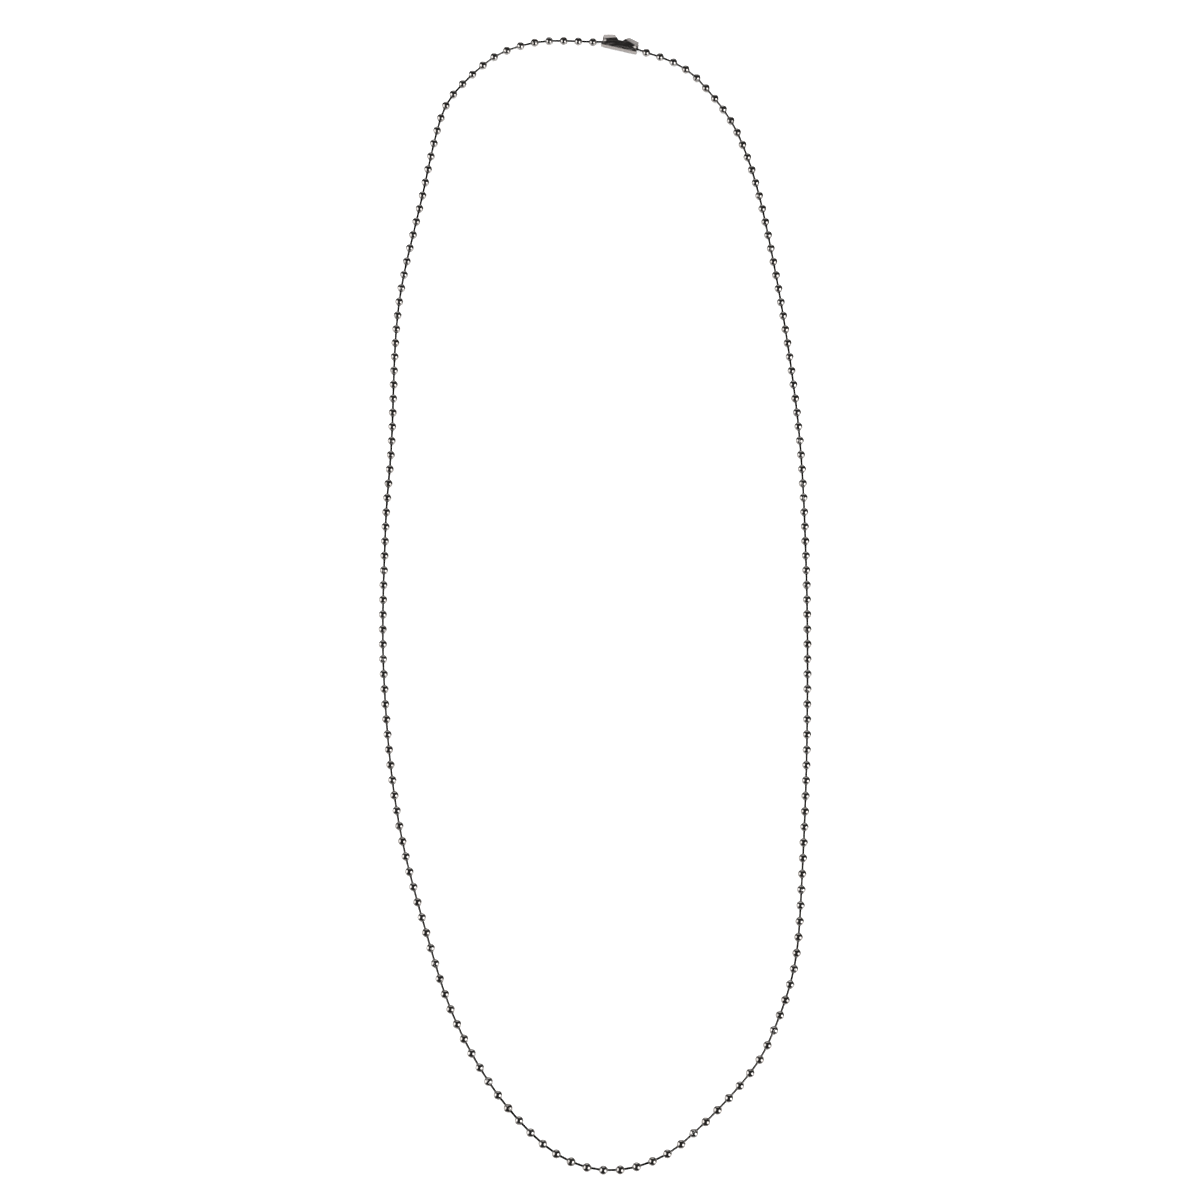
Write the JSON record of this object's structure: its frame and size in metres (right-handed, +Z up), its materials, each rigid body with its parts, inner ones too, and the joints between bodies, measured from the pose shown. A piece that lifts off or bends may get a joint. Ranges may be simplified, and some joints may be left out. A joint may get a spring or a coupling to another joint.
{
  "type": "ball chain necklace",
  "caption": "Closed loop of hollow metal beads on headed link pins, with a folded sheet connector that snaps over the end beads; lies flat on a table.",
  "frame": {"origin": "middle of the rectangle round the lying necklace, on the table that it lies on", "axes": "+Y along the long way of the loop, towards the connector at the nape; +X to the right seen from above; +Z up from the table"},
  "size_m": [0.1182, 0.3314, 0.0032],
  "materials": {
    "bead": "polished",
    "pin": "polished",
    "connector": "polished"
  },
  "bodies": {
    "root": {"beads": "bead", "link_pins": "pin", "connector": "connector"}
  },
  "joints": []
}
